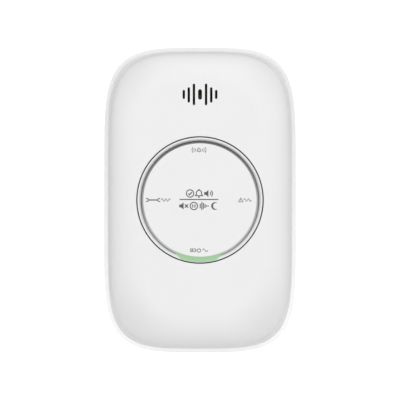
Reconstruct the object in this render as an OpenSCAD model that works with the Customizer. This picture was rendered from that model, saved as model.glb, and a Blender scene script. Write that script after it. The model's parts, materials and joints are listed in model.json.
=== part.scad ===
// Wall-mounted carbon monoxide detector: two-part case on a hooked wall plate, one large round test button
// in a light ring, circuit board with sounder and gas cell, and two AA cells behind a hinged door.
// Every piece is drawn lying on its back, X across, Y up the wall and Z out from the wall.
// upright() then stands it up: the front faces -Y and +Z is up. The origin is on the wall plate's back.

/* [Body] */
// Width of the case, across the rim of the rear cover
body_w = 75.5; // [75:0.5:84]
// Height of the case
body_h = 120; // [120:1:132]
// Depth from the wall to the face of the button
body_d = 38; // [37.5:0.5:42]
// Squareness of the outline across the width, as a superellipse power
side_power = 3.77; // [3.5:0.01:4.5]
// Squareness of the outline along the height, as a superellipse power
end_power = 5.81; // [5.4:0.01:7]
// How far the front cover stands in from the rim of the rear cover
rim_step = 1.4; // [1:0.1:1.8]
// Wall thickness of both covers
wall_t = 2.2; // [1.8:0.1:2.4]
// Depth of the plane where the two covers meet
part_d = 14; // [13.5:0.5:14.5]
// Depth at which the straight side of the front cover ends
side_d = 24; // [22:0.5:26]
// How far the straight side leans in by that depth
side_draft = 0.8; // [0.4:0.1:1.2]
// Width of the rounded shoulder between the side and the flat face
shoulder_w = 13.5; // [12:0.5:15]
// Fullness of the shoulder, as a superellipse power
shoulder_power = 2.4; // [2:0.1:3]

/* [Button and light ring] */
// Radius of the round opening in the front cover
opening_r = 25; // [24.8:0.05:25.4]
// Outer radius of the light ring
ring_r = 24.65; // [24.4:0.05:24.8]
// Inner radius of the light ring
ring_inner_r = 23.2; // [23.1:0.05:23.4]
// Radius of the test button
button_r = 22.95; // [22.5:0.05:23]
// Radius of the rounded edge of the button
button_edge_r = 0.9; // [0.5:0.1:1.2]
// Travel of the button
button_travel = 0.8; // [0.4:0.1:1]

/* [Sounder slots] */
// Height of the row of slots above the middle of the body
slot_z = 41.6; // [40:0.1:42]
// Width of each narrow slot
slot_w = 0.93; // [0.8:0.01:1.1]
// Width of the short middle slot
middle_slot_w = 1.5; // [1.2:0.1:1.6]

/* [Wall plate] */
// Width of the wall plate
plate_w = 50; // [48:0.5:50]
// Height of the wall plate
plate_h = 46; // [45:0.5:46]
// Thickness of the wall plate
plate_t = 2.2; // [2:0.1:2.2]
// Distance between the two screw holes
screw_spacing = 32; // [28:1:34]
// Radius of the screw holes
screw_hole_r = 2.25; // [2:0.05:2.4]
// Distance that the body lifts to come off its hooks
lift = 8; // [7.5:0.1:8]

/* [Batteries] */
// Diameter of an AA cell
cell_dia = 14.5; // [14:0.1:14.5]
// Length of an AA cell, with its nub
cell_l = 50.5; // [50:0.1:50.5]

/* [Hidden] */

$fn = 64;
half_h = body_h / 2;
outline_points = 72;
shoulder_steps = 8;
eps = 0.01;

// Depths from the wall
back_d = 0.6;
back_in_d = back_d + 2;
rim_d = part_d - 0.4;
lip_d = part_d + 3;
face_in_d = body_d - wall_t;
pcb_back_d = 19.2;
pcb_t = 1.6;
pcb_w = 62;
pcb_h = 104;
pcb_d = pcb_back_d + pcb_t;

// Insets from the outline
side_inset = rim_step + side_draft;
lip_outer = rim_step + wall_t + 0.45;
lip_inner = lip_outer + 1.45;

// Case screws, in the four corners
case_screw_x = 22.5;
case_screw_y = 50.5;
case_head_r = 2.5;
case_head_t = 1.8;
case_seat_d = 8;
case_shank_r = 1.25;
case_screw_end_d = 22;

// Board screws, two above and two below
pcb_screw_places = [[14, 48.5], [-14, 48.5], [26.5, -8], [-26.5, -8]];
pcb_shank_r = 1.2;
pcb_screw_end_d = 12;

// Wall plate and its hooks, and the recess that takes them
plate_low = -3;
plate_mid = plate_low + plate_h / 2;
plate_corner_r = 4;
hook_x = 19;
hook_rows = [6, 34];
hook_neck_w = 4;
hook_head_w = 8;
hook_h = 5;
hook_gap = 0.3;
hook_head_t = 1.4;
recess_d = back_in_d;
recess_floor_t = 2;
recess_x = plate_w / 2 + 0.8;
recess_low = plate_low - lift - 0.4;
recess_high = plate_low + plate_h + 0.5;
recess_wall = 2;
countersink_r = 4.2;
countersink_d = 1;

// Battery box, two cells one above the other
box_x = 27.8;
box_low = -45.5;
box_high = -15.3;
box_wall = 1.2;
box_in_d = 17.6;
box_front_d = 18.8;
cell_d = 10.15;
cell_high = -22.9;
cell_low = cell_high - 15;
cell_r = cell_dia / 2;
contact_t = 0.4;
contact_w = 11;
tail_w = 2.5;
tail_d = 21.4;

// Battery door
door_gap = 0.35;
door_x = box_x - door_gap;
door_low = box_low + 0.4;
door_t = 1.8;
hinge_d = 2;
hinge_y = box_high - 1.4;
hinge_r = 1;
pin_r = 0.8;
pin_clearance = 0.05;
latch_w = 10;
latch_d = 5.4;
latch_bump = 0.8;
latch_notch = 0.9;

// Button, ring and what they carry
button_t = 2;
button_skirt_d = 34.4;
button_wall = 1.25;
clip_nose_r = 23.9;
clip_d = 30.6;
clip_angle = 14;
collar_r = 28.5;
collar_d = 33.4;
flange_r = 28;
flange_t = 1.7;
light_r = 24.2;
light_pipe_r = 1.2;
led_h = 1.2;
light_pipe_end_d = pcb_d + led_h + 0.3;
switch_w = 12;
switch_h = 3.5;
plunger_r = 3.4;
plunger_d = 26.1;
rod_r = 2.5;
post_circle_r = 14;
post_angles = [90, 210, 330];
post_r = 1.6;
spring_r = 2.2;
spring_wire_r = 0.22;
seat_r = 3.2;
seat_t = 1;

// Sounder above the button and gas cell below it
sounder_r = 11;
sounder_low_d = 22;
sounder_top_d = 31.2;
disc_d = 26.5;
mesh_d = 33;
mesh_t = 0.3;
sound_collar_r = 9.2;
sound_collar_in_r = 7.6;
sensor_y = -39.5;
sensor_r = 10;
sensor_low_d = 21.2;
sensor_top_d = 33.2;
pin_below = 0.3;

// Chips
chip_x = -12;
chip_y = 9;
chip_w = 9;
chip_leads = 8;
lead_pitch = 1;
capacitor_x = -19.5;
capacitor_y = 27.5;

// Colours
white_plastic = [0.93, 0.93, 0.93];
clear_plastic = [0.85, 0.93, 0.86, 0.7];
board_green = [0.1, 0.36, 0.2];
dark = [0.12, 0.12, 0.13];
steel = [0.72, 0.72, 0.74];

module upright() {
    rotate([90, 0, 0]) children();
}

// Repeats its children in the four quarters, at x and y from the middle
module in_corners(x, y) {
    for (side = [-1, 1], end = [-1, 1]) translate([side * x, end * y, 0]) children();
}

// A round bar of radius r from depth low to depth high
module bar(r, low, high) {
    translate([0, 0, low]) cylinder(r = r, h = high - low);
}

// A block from corner low to corner high
module block(low, high) {
    translate(low) cube(high - low);
}

function signed_power(value, power) = sign(value) * pow(abs(value), power);

// The body's outline as a superellipse, moved in by inset
function outline(inset, w = body_w, h = body_h) = [for (i = [0:outline_points - 1])
    let (a = 360 * i / outline_points)
    [(w / 2 - inset) * signed_power(cos(a), 2 / side_power),
     (h / 2 - inset) * signed_power(sin(a), 2 / end_power)]];

function backwards(list) = [for (i = [len(list) - 1:-1:0]) list[i]];

function strip_faces(k, n) = [for (i = [0:n - 1])
    let (a = k * n + i, b = k * n + (i + 1) % n)
    each [[a, a + n, b + n], [a, b + n, b]]];

// A closed skin through a row of rings, with a flat cap on the first and the last
module skin_of(rings, first_is_high = false) {
    n = len(rings[0]);
    last = len(rings) - 1;
    first_cap = [for (i = [0:n - 1]) i];
    last_cap = [for (i = [n - 1:-1:0]) last * n + i];
    faces = concat([first_cap], [for (k = [0:last - 1]) each strip_faces(k, n)], [last_cap]);
    polyhedron([for (r = rings) each r], first_is_high ? [for (f = faces) backwards(f)] : faces, convexity = 6);
}

// A case skin: each entry of profile is [inset from the outline, depth]
module case_skin(profile) {
    rings = [for (p = profile) [for (q = outline(p[0])) [q[0], q[1], p[1]]]];
    skin_of(rings, first_is_high = profile[1][1] < profile[0][1]);
}

// Shoulder from the straight side to the flat face, for angles from first to last
function shoulder(inset, low, run, rise, first, last, steps) = [for (k = [0:steps])
    let (t = first + (last - first) * k / steps)
    [inset + run * (1 - pow(cos(t), 2 / shoulder_power)), low + rise * pow(sin(t), 2 / shoulder_power)]];

// Upright slot with round ends
function pill(w, h, steps = 6) = [for (end = [0, 180], k = [0:steps])
    let (a = end + 180 * k / steps)
    [w / 2 * cos(a), (h - w) / 2 * (end == 0 ? 1 : -1) + w / 2 * sin(a)]];

function rounded_rectangle(w, h, r, steps = 6) = [for (q = [0:3], k = [0:steps])
    let (a = 90 * q + 90 * k / steps, sx = q == 0 || q == 3 ? 1 : -1, sy = q < 2 ? 1 : -1)
    [sx * (w / 2 - r) + r * cos(a), sy * (h / 2 - r) + r * sin(a)]];

// A wire of radius r through points, as a tube with flat ends
module wire(points, r, sides = 6) {
    last = len(points) - 1;
    rings = [for (i = [0:last])
        let (ahead = points[min(i + 1, last)] - points[max(i - 1, 0)],
             along = ahead / norm(ahead),
             side = cross(along, [0, 0, 1]) / norm(cross(along, [0, 0, 1])),
             up = cross(side, along))
        [for (k = [0:sides - 1])
            let (a = -360 * k / sides)
            points[i] + r * (cos(a) * side + sin(a) * up)]];
    skin_of(rings);
}

// A coil about Z whose radius goes from r_low to r_high
function coil(r_low, r_high, low, high, turns, steps = 12) = [for (i = [0:turns * steps])
    let (f = i / (turns * steps), r = r_low + (r_high - r_low) * f)
    [r * cos(360 * i / steps), r * sin(360 * i / steps), low + (high - low) * f]];

// Screw with a cross recess, its head standing out from depth seat towards side (+1 out, -1 back)
module screw(head_r, head_t, shank_r, seat, end) {
    out = sign(seat - end);
    head_end = seat + out * head_t;
    difference() {
        union() {
            bar(head_r, min(seat, head_end), max(seat, head_end));
            bar(shank_r, min(seat + out * eps, end + out), max(seat + out * eps, end + out));
            translate([0, 0, out > 0 ? end : end - 1])
                cylinder(r1 = out > 0 ? 0.3 : shank_r, r2 = out > 0 ? shank_r : 0.3, h = 1);
        }
        for (turn = [0, 90]) rotate(turn) translate([0, 0, head_end])
            cube([head_r * 1.2, 0.6, head_t], center = true);
    }
}

module wall_plate() {
    upright() color(white_plastic) {
        difference() {
            translate([0, plate_mid, 0]) linear_extrude(plate_t)
                polygon(rounded_rectangle(plate_w, plate_h, plate_corner_r));
            for (side = [-1, 1]) translate([side * screw_spacing / 2, plate_mid, 0]) {
                bar(screw_hole_r, -1, plate_t + 1);
                translate([0, 0, countersink_d])
                    cylinder(r1 = screw_hole_r, r2 = countersink_r, h = plate_t - countersink_d + eps);
            }
            translate([0, plate_mid, plate_t - 0.5]) linear_extrude(1) polygon([[0, 6], [4, 1], [-4, 1]]);
            block([-1.2, plate_mid - 6, plate_t - 0.5], [1.2, plate_mid + 1.2, plate_t + 1]);
        }
        neck_end = recess_d + recess_floor_t + hook_gap;
        for (side = [-1, 1], row = hook_rows) translate([side * hook_x, row, 0]) {
            block([-hook_neck_w / 2, -hook_h / 2, plate_t - 0.5], [hook_neck_w / 2, hook_h / 2, neck_end + eps]);
            block([-hook_head_w / 2, -hook_h / 2, neck_end],
                [hook_head_w / 2, hook_h / 2, neck_end + hook_head_t]);
        }
    }
}

// Back of the case: the shell, the recess for the wall plate, the battery box and the screw bosses
module rear_cover() {
    profile = [[3.4, back_d], [1.9, back_d + 0.5], [1, back_d + 1.9], [0.35, back_d + 5], [0, back_d + 9],
        [0, rim_d], [0.15, part_d - 0.12], [0.5, part_d], [lip_outer, part_d], [lip_outer, lip_d],
        [lip_inner, lip_d], [lip_inner, part_d - 2], [wall_t, part_d - 5], [wall_t + 0.35, back_d + 5],
        [wall_t + 1, back_in_d + 1.6], [wall_t + 2.4, back_in_d]];
    upright() color(white_plastic) difference() {
        union() {
            case_skin(profile);
            block([-recess_x - recess_wall, recess_low - recess_wall, back_d + 0.4],
                [recess_x + recess_wall, recess_high + recess_wall, recess_d + recess_floor_t]);
            block([-box_x - box_wall, box_low - box_wall, back_d + 0.4],
                [box_x + box_wall, box_high + box_wall, box_front_d]);
            block([-latch_w, box_low - box_wall - 1.4, back_d + 0.4], [latch_w, box_low - box_wall + 0.3, 9]);
            in_corners(case_screw_x, case_screw_y) {
                bar(3.6, back_d + 0.4, part_d - 0.5);
                bar(2.4, part_d - 1, lip_d);
            }
            for (place = pcb_screw_places) translate(place) bar(2.6, back_d + 1, pcb_back_d);
        }
        block([-recess_x, recess_low, -1], [recess_x, recess_high, recess_d]);
        block([-box_x, box_low, -1], [box_x, box_high, box_in_d]);
        for (side = [-1, 1], row = hook_rows) translate([side * hook_x, row, 0]) {
            block([-2.4, -lift, recess_d - 1], [2.4, hook_h / 2 + 0.15, recess_d + recess_floor_t + 1]);
            block([-4.6, -lift - 3.1, recess_d - 1], [4.6, -lift + 3.1, recess_d + recess_floor_t + 1]);
        }
        in_corners(case_screw_x, case_screw_y) {
            bar(case_head_r + 0.2, -1, case_seat_d);
            bar(case_shank_r + 0.35, case_seat_d - 1, lip_d + 1);
        }
        for (place = pcb_screw_places) translate(place)
            bar(pcb_shank_r + 0.05, pcb_screw_end_d - 1, pcb_back_d + 1);
        translate([0, hinge_y, hinge_d]) rotate([0, 90, 0])
            bar(pin_r + pin_clearance, -box_x - box_wall - 0.2, box_x + box_wall + 0.2);
        block([-latch_w / 2 - 0.5, box_low - latch_notch, -1], [latch_w / 2 + 0.5, box_low + 1, latch_d + 0.6]);
        for (side = [-1, 1]) translate([side * (box_x - contact_t / 2), 0, 0])
            for (row = side < 0 ? [cell_high, cell_low] : [])
                block([-contact_t, row - tail_w / 2 - 0.2, box_in_d - 1],
                    [contact_t, row + tail_w / 2 + 0.2, box_front_d + 1]);
        gas_vents();
    }
}

// Gas vents through the top and bottom walls of the rear cover
module gas_vents() {
    for (end = [-1, 1], k = [-4:4])
        block([3.2 * k - 0.8, end > 0 ? half_h - 4 : -half_h - 2, 5.4],
            [3.2 * k + 0.8, end > 0 ? half_h + 2 : -half_h + 4, 10.2]);
}

// Front of the case: the shell, the collars behind its openings and the screw bosses
module front_cover() {
    outer = shoulder(side_inset, side_d, shoulder_w, body_d - side_d, 90, 0, shoulder_steps);
    inner = shoulder(side_inset + wall_t, side_d, shoulder_w - wall_t + 0.4, face_in_d - side_d, 0, 90, 6);
    profile = concat(outer, [[rim_step, part_d], [rim_step + wall_t, part_d]], inner);
    slots = [[0, middle_slot_w, 4.1], [2.38, slot_w, 8.45], [4.4, slot_w, 6], [6.35, slot_w, 3.55]];
    upright() color(white_plastic) difference() {
        union() {
            case_skin(profile);
            bar(collar_r, collar_d, face_in_d + 0.6);
            translate([0, slot_z, 0]) bar(sound_collar_r, mesh_d + mesh_t, face_in_d + 0.4);
            in_corners(case_screw_x, case_screw_y) bar(2.9, lip_d + 0.2, 27);
        }
        bar(opening_r, collar_d - 1, body_d + 1);
        translate([0, slot_z, 0]) {
            bar(sound_collar_in_r, mesh_d - 1, face_in_d);
            for (side = [-1, 1], s = slots) if (s[0] > 0 || side > 0)
                translate([side * s[0], 0, face_in_d - 1]) linear_extrude(wall_t + 3) polygon(pill(s[1], s[2]));
        }
        in_corners(case_screw_x, case_screw_y) bar(case_shank_r + 0.05, lip_d - 1, case_screw_end_d + 1);
    }
}

module light_ring() {
    crest_d = body_d - 0.2;
    profile = [[ring_inner_r, collar_d - flange_t], [flange_r, collar_d - flange_t], [flange_r, collar_d],
        [ring_r, collar_d], [ring_r, crest_d - 0.35], [ring_r - 0.2, crest_d], [ring_inner_r + 0.85, crest_d],
        [ring_inner_r + 0.6, crest_d - 0.15], [ring_inner_r, crest_d - 1.1]];
    upright() color(clear_plastic) {
        rotate_extrude($fn = 96) polygon(profile);
        for (turn = [0:90:270]) rotate(turn) translate([light_r, 0, 0])
            bar(light_pipe_r, light_pipe_end_d, collar_d - flange_t + 0.4);
    }
}

// The button cap with its clips, spring posts and the rod that presses the switch
module test_button() {
    face_in = body_d - button_t;
    edge = [for (k = [0:5]) [button_r - button_edge_r + button_edge_r * sin(18 * k),
        body_d - button_edge_r + button_edge_r * cos(18 * k)]];
    cap = concat([[0, face_in], [0, body_d]], edge,
        [[button_r, button_skirt_d], [button_r - button_wall, button_skirt_d], [button_r - button_wall, face_in]]);
    arm_in = button_r - button_wall + 0.1;
    arm_out = button_r - 0.1;
    clip = [[arm_in, button_skirt_d + 1], [arm_out, button_skirt_d + 1],
        [arm_out, clip_d + 0.9], [clip_nose_r, clip_d + 0.9], [clip_nose_r, clip_d + 0.6],
        [arm_out, clip_d], [arm_in, clip_d]];
    upright() color(white_plastic) {
        rotate_extrude($fn = 96) polygon(cap);
        for (turn = [45:90:315]) rotate(turn - clip_angle / 2) rotate_extrude(angle = clip_angle, $fn = 96)
            polygon(clip);
        bar(rod_r, plunger_d + 0.1, face_in + 0.5);
        for (turn = post_angles) rotate(turn) translate([post_circle_r, 0, 0])
            bar(post_r, face_in - 3, face_in + 0.5);
    }
}

module return_springs() {
    low = pcb_d + seat_t + spring_wire_r + 0.05;
    high = body_d - button_t - spring_wire_r - 0.05;
    upright() color(steel) for (turn = post_angles) rotate(turn) translate([post_circle_r, 0, 0])
        wire(coil(spring_r, spring_r, low, high, 6), spring_wire_r, sides = 5);
}

// Plastic cups that locate the springs, pegged into the board
module spring_seats() {
    upright() color("ivory") for (turn = post_angles) rotate(turn) translate([post_circle_r, 0, 0]) {
        bar(seat_r, pcb_d, pcb_d + seat_t);
        bar(post_r, pcb_d + seat_t - eps, pcb_d + seat_t + 1.5);
        bar(1, pcb_back_d, pcb_d + eps);
    }
}

module switch_base() {
    half = switch_w / 2;
    upright() color(dark) difference() {
        union() {
            block([-half, -half, pcb_d], [half, half, pcb_d + switch_h]);
            for (side = [-1, 1], end = [-1, 1]) translate([side * half, end * 2.5, 0])
                block([-0.7, -0.5, pcb_back_d], [0.7, 0.5, pcb_d + 0.5]);
        }
        bar(plunger_r + 0.05, pcb_d + 0.8, pcb_d + switch_h + 1);
    }
}

module switch_plunger() {
    upright() color("ivory") {
        bar(plunger_r, pcb_d + 0.8 + button_travel + 0.2, pcb_d + switch_h + 0.6);
        bar(plunger_r - 0.5, pcb_d + switch_h, plunger_d);
    }
}

// Circuit board, with notches round the case bosses and holes for all that passes through it
module main_pcb() {
    upright() color(board_green) difference() {
        translate([0, 0, pcb_back_d]) linear_extrude(pcb_t) polygon(outline(0, pcb_w, pcb_h));
        in_corners(case_screw_x, case_screw_y) bar(3.4, pcb_back_d - 1, pcb_d + 1);
        for (place = pcb_screw_places) translate(place) bar(pcb_shank_r + 0.2, pcb_back_d - 1, pcb_d + 1);
        for (turn = post_angles) rotate(turn) translate([post_circle_r, 0, 0])
            bar(1.05, pcb_back_d - 1, pcb_d + 1);
        for (side = [-1, 1], end = [-1, 1]) translate([side * switch_w / 2, end * 2.5, 0])
            block([-0.75, -0.55, pcb_back_d - 1], [0.75, 0.55, pcb_d + 1]);
        for (row = [cell_high, cell_low]) translate([-box_x + contact_t / 2, row, 0])
            block([-contact_t, -tail_w / 2 - 0.2, pcb_back_d - 1], [contact_t, tail_w / 2 + 0.2, pcb_d + 1]);
        sounder_pin_places() bar(0.5, pcb_back_d - 1, pcb_d + 1);
        sensor_pin_places() bar(0.6, pcb_back_d - 1, pcb_d + 1);
        capacitor_pin_places() bar(0.4, pcb_back_d - 1, pcb_d + 1);
    }
}

// Surface-mounted light under one light pipe, at the given turn round the ring
module led(turn) {
    upright() rotate(turn) translate([light_r, 0, 0]) {
        color("white") block([-1.4, -1.75, pcb_d], [1.4, 1.75, pcb_d + led_h - 0.4]);
        color([0.8, 1, 0.8]) bar(1.1, pcb_d + led_h - 0.5, pcb_d + led_h);
    }
}

module led_alarm() led(90);
module led_malfunction() led(180);
module led_power() led(270);
module led_fault() led(0);

module sounder_housing() {
    upright() color(dark) translate([0, slot_z, 0]) difference() {
        bar(sounder_r, sounder_low_d, sounder_top_d);
        bar(sounder_r - 1, sounder_low_d - 1, disc_d);
        bar(sounder_r - 2, sounder_low_d, sounder_top_d - 1.2);
        bar(2.5, sounder_top_d - 2, sounder_top_d + 1);
    }
}

module sounder_base() {
    upright() color("ivory") translate([0, slot_z, 0]) bar(sounder_r - 1.1, sounder_low_d, sounder_low_d + 1.4);
}

// Brass disc with its ceramic layer on the back
module piezo_disc() {
    upright() color("goldenrod") translate([0, slot_z, 0]) {
        bar(sounder_r - 1.1, disc_d - 0.35, disc_d - 0.05);
        bar(7, disc_d - 0.65, disc_d - 0.34);
    }
}

module sounder_gasket() {
    upright() color(dark) translate([0, slot_z, 0]) difference() {
        bar(10.4, sounder_top_d, mesh_d);
        bar(sound_collar_in_r, sounder_top_d - 1, mesh_d + 1);
    }
}

// Fine dark screen behind the slots
module sounder_mesh() {
    upright() color([0.2, 0.2, 0.21]) translate([0, slot_z, 0]) bar(sound_collar_r, mesh_d, mesh_d + mesh_t);
}

module sounder_pin_places() {
    for (side = [-1, 1]) translate([side * 5, slot_z, 0]) children();
}

module sounder_pins() {
    upright() color(steel) sounder_pin_places() bar(0.4, pcb_back_d - pin_below, sounder_low_d);
}

module co_sensor_can() {
    upright() color(steel) translate([0, sensor_y, 0]) difference() {
        bar(sensor_r, sensor_low_d, sensor_top_d);
        bar(sensor_r - 0.5, sensor_low_d - 1, sensor_top_d - 0.5);
        bar(1.8, sensor_top_d - 1, sensor_top_d + 1);
    }
}

module co_sensor_cell() {
    upright() color("navy") translate([0, sensor_y, 0])
        bar(sensor_r - 0.55, sensor_low_d, sensor_top_d - 0.8);
}

// Dust filter over the inlet of the can
module co_sensor_filter() {
    upright() color("white") translate([0, sensor_y, 0]) bar(4, sensor_top_d, sensor_top_d + 0.5);
}

module sensor_pin_places() {
    for (turn = [30:120:270]) translate([0, sensor_y, 0]) rotate(turn) translate([6.5, 0, 0]) children();
}

module co_sensor_pins() {
    upright() color(steel) sensor_pin_places() bar(0.5, pcb_back_d - pin_below, sensor_low_d);
}

module microcontroller() {
    upright() color(dark) translate([chip_x, chip_y, 0])
        block([-chip_w / 2, -chip_w / 2, pcb_d + 0.1], [chip_w / 2, chip_w / 2, pcb_d + 1.4]);
}

module microcontroller_leads() {
    upright() color(steel) translate([chip_x, chip_y, 0]) for (turn = [0:90:270], k = [0:chip_leads - 1])
        rotate(turn) translate([chip_w / 2, (k - (chip_leads - 1) / 2) * lead_pitch, 0]) {
            block([0, -0.2, pcb_d + 0.5], [0.6, 0.2, pcb_d + 0.7]);
            block([0.4, -0.2, pcb_d], [0.6, 0.2, pcb_d + 0.6]);
            block([0.5, -0.2, pcb_d], [1.1, 0.2, pcb_d + 0.2]);
        }
}

// Eight-pin chips beside the gas cell, each a body with its two rows of leads
module amplifier_chips() {
    upright() for (side = [-1, 1]) translate([side * 17, -33, 0]) {
        color(dark) block([-2, -2.5, pcb_d + 0.1], [2, 2.5, pcb_d + 1.5]);
        color(steel) for (edge = [-1, 1], k = [0:3])
            translate([edge * 2.4, 1.27 * (k - 1.5), 0]) block([-0.6, -0.2, pcb_d], [0.6, 0.2, pcb_d + 0.4]);
    }
}

module capacitor_pin_places() {
    for (side = [-1, 1]) translate([capacitor_x + side * 1.75, capacitor_y, 0]) children();
}

module capacitor() {
    upright() {
        color("midnightblue") translate([capacitor_x, capacitor_y, 0]) bar(4, pcb_d + 0.3, pcb_d + 11.5);
        color(steel) capacitor_pin_places() bar(0.3, pcb_back_d - pin_below, pcb_d + 0.4);
    }
}

// Coil that raises the voltage for the sounder, wound between two flanges
module boost_coil() {
    upright() color("sienna") translate([19.5, 28, 0]) {
        bar(4.5, pcb_d, pcb_d + 1);
        bar(3.8, pcb_d + 0.9, pcb_d + 5.1);
        bar(4.5, pcb_d + 5, pcb_d + 6);
    }
}

module chip_resistors() {
    upright() color([0.25, 0.25, 0.25]) for (column = [0:3], row = [0:2])
        translate([8.5 + 3 * column, 5.5 + 3.4 * row, 0]) block([-0.6, -1, pcb_d], [0.6, 1, pcb_d + 0.5]);
}

// AA cell along X, its nub on the side given by facing
module cell(facing, y) {
    nub_l = 1;
    body_l = cell_l - nub_l;
    upright() translate([0, y, cell_d]) rotate([0, 90 * facing, 0]) {
        color("darkslategray") bar(cell_r, -cell_l / 2, -cell_l / 2 + body_l - 0.8);
        color("peru") bar(cell_r - 0.6, -cell_l / 2 + body_l - 0.8 - eps, -cell_l / 2 + body_l);
        color(steel) bar(2.7, -cell_l / 2 + body_l - eps, cell_l / 2);
    }
}

module battery_upper() cell(1, cell_high);
module battery_lower() cell(-1, cell_low);

// Flat contact blade against the end wall of the box, at side and row, with a tail to the board
module contact_blade(side, row, tail) {
    outer = side > 0 ? box_x - contact_t : -box_x;
    block([outer, row - contact_w / 2, cell_d - 5.5], [outer + contact_t, row + contact_w / 2, cell_d + 5.5]);
    if (tail)
        block([outer, row - tail_w / 2, cell_d + 5.4], [outer + contact_t, row + tail_w / 2, tail_d]);
}

// Pressed dimple that meets a cell's nub
module contact_dimple(side, row) {
    tip = box_x - contact_t - cell_l / 2 - 0.02;
    translate([side * (box_x - contact_t + eps), row, cell_d]) rotate([0, -90 * side, 0])
        cylinder(r1 = 3.4, r2 = 1.8, h = tip + eps);
}

// Cone spring that meets a cell's flat end
module contact_spring(side, row) {
    length = box_x - contact_t - cell_l / 2;
    translate([side * (box_x - contact_t), row, cell_d]) rotate([0, -90 * side, 0])
        wire(coil(4.6, 2.6, 0.2, length - 0.3, 3, steps = 16), 0.25, sides = 5);
}

module battery_positive_contact() {
    upright() color(steel) {
        contact_blade(-1, cell_low, true);
        contact_dimple(-1, cell_low);
    }
}

module battery_negative_contact() {
    upright() color(steel) {
        contact_blade(-1, cell_high, true);
        contact_spring(-1, cell_high);
    }
}

// Joins the two cells at the other end of the box
module battery_bridge_contact() {
    upright() color(steel) {
        contact_blade(1, cell_low, false);
        contact_blade(1, cell_high, false);
        block([box_x - contact_t, cell_low, cell_d - 3], [box_x, cell_high, cell_d + 3]);
        contact_dimple(1, cell_high);
        contact_spring(1, cell_low);
    }
}

// Door in the back, with hinge pins along its top edge and a latch along its bottom edge
module battery_door() {
    plate_top = hinge_y - 1.6;
    upright() color(white_plastic) difference() {
        union() {
            block([-door_x, door_low, back_d], [door_x, plate_top, back_d + door_t]);
            block([-door_x, plate_top - 1, hinge_d - hinge_r], [door_x, hinge_y, back_d + door_t]);
            translate([0, hinge_y, hinge_d]) rotate([0, 90, 0]) {
                bar(hinge_r, -door_x, door_x);
                bar(pin_r, -box_x - box_wall + 0.1, box_x + box_wall - 0.1);
            }
            block([-latch_w / 2, door_low, back_d + 1], [latch_w / 2, door_low + 1.1, latch_d]);
            block([-latch_w / 2, door_low - latch_bump, latch_d - 1.2], [latch_w / 2, door_low + 1, latch_d - 0.2]);
        }
        for (k = [0:4]) block([-9, door_low + 3 + 1.6 * k, back_d - 1], [9, door_low + 3.8 + 1.6 * k, back_d + 0.5]);
    }
}

module case_screws() {
    upright() color(steel) in_corners(case_screw_x, case_screw_y)
        screw(case_head_r, case_head_t, case_shank_r, case_seat_d, case_screw_end_d);
}

module pcb_screws() {
    upright() color(steel) for (place = pcb_screw_places) translate(place)
        screw(2.4, 1.6, pcb_shank_r, pcb_d, pcb_screw_end_d);
}

wall_plate();
rear_cover();
front_cover();
light_ring();
test_button();
return_springs();
spring_seats();
switch_base();
switch_plunger();
main_pcb();
led_alarm();
led_power();
led_malfunction();
led_fault();
sounder_housing();
sounder_base();
piezo_disc();
sounder_gasket();
sounder_mesh();
sounder_pins();
co_sensor_can();
co_sensor_cell();
co_sensor_filter();
co_sensor_pins();
microcontroller();
microcontroller_leads();
amplifier_chips();
capacitor();
boost_coil();
chip_resistors();
battery_upper();
battery_lower();
battery_positive_contact();
battery_negative_contact();
battery_bridge_contact();
battery_door();
case_screws();
pcb_screws();
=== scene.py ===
"""Looks of the wall-mounted carbon monoxide detector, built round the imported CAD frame.

Pieces are drawn in plan, lying on their back, in millimetres: X across, Y up the wall and Z out from the
wall. stand() turns plan points into the frame: metres, front towards -Y, +Z up.
"""
import json
import math

import bpy
import numpy as np
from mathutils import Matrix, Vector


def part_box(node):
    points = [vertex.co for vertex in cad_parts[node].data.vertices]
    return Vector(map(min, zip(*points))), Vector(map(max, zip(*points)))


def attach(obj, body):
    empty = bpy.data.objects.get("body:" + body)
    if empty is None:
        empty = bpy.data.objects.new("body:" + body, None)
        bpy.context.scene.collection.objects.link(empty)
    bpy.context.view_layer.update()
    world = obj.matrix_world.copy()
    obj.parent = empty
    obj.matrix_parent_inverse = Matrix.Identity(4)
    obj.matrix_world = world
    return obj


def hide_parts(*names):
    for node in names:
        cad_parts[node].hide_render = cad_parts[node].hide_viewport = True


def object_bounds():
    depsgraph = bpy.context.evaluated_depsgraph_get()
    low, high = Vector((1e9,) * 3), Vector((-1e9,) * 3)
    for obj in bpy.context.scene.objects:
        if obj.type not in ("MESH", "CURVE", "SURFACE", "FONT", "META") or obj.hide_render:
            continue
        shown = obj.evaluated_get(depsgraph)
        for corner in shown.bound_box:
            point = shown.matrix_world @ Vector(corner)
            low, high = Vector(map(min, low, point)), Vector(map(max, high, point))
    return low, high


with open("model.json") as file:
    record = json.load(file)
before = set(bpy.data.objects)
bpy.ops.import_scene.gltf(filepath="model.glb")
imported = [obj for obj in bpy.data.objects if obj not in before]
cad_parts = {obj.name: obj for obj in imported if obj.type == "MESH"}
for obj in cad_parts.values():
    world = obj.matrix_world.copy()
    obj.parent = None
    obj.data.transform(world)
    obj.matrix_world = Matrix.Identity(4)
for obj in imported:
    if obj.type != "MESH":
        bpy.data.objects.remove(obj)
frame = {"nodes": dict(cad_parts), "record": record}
cad_low, cad_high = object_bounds()
MM = 0.001


def plan_box(node):
    """Lowest and highest plan corner of a CAD node, in millimetres."""
    low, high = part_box(node)
    return (low.x / MM, low.z / MM, -high.y / MM), (high.x / MM, high.z / MM, -low.y / MM)


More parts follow.
